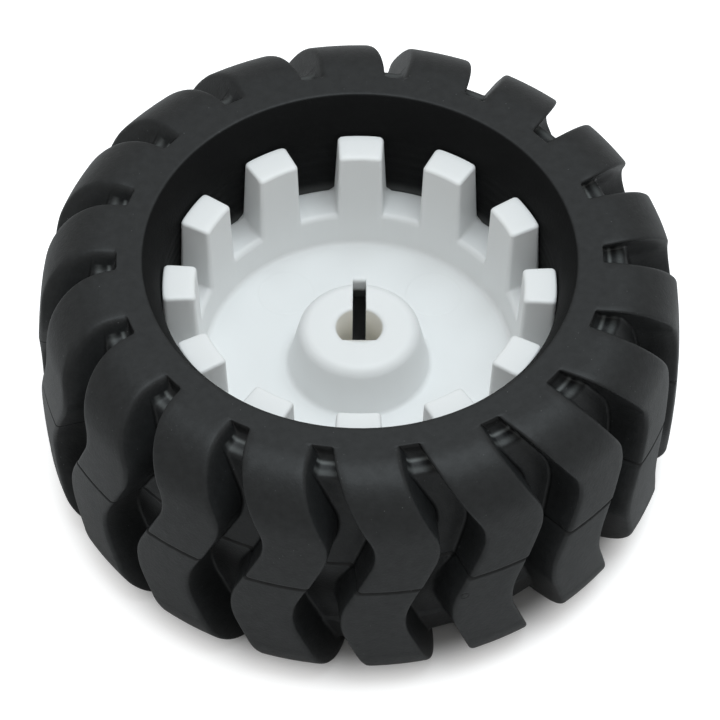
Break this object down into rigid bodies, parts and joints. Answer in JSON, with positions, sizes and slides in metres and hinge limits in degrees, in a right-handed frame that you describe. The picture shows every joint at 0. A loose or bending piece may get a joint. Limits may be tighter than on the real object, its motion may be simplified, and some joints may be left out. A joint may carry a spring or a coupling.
{
  "type": "wheel",
  "caption": "Small robot car wheel: wide black rubber tyre with wavy tread lugs on a white plastic hub with a toothed edge and a D-shaped bore for a motor shaft.",
  "frame": {"origin": "on the wheel's axis, halfway between the tyre's two side faces", "axes": "+Z along the axis, out of the motor side with the teeth; +Y along the slit in the web; -Y towards the bore's flat"},
  "size_m": [0.042, 0.042, 0.019],
  "materials": {
    "tyre": "dull moulded rubber",
    "hub": "white moulded plastic with a soft sheen"
  },
  "bodies": {
    "root": {"tyre": "tyre", "hub": "hub"}
  },
  "joints": []
}
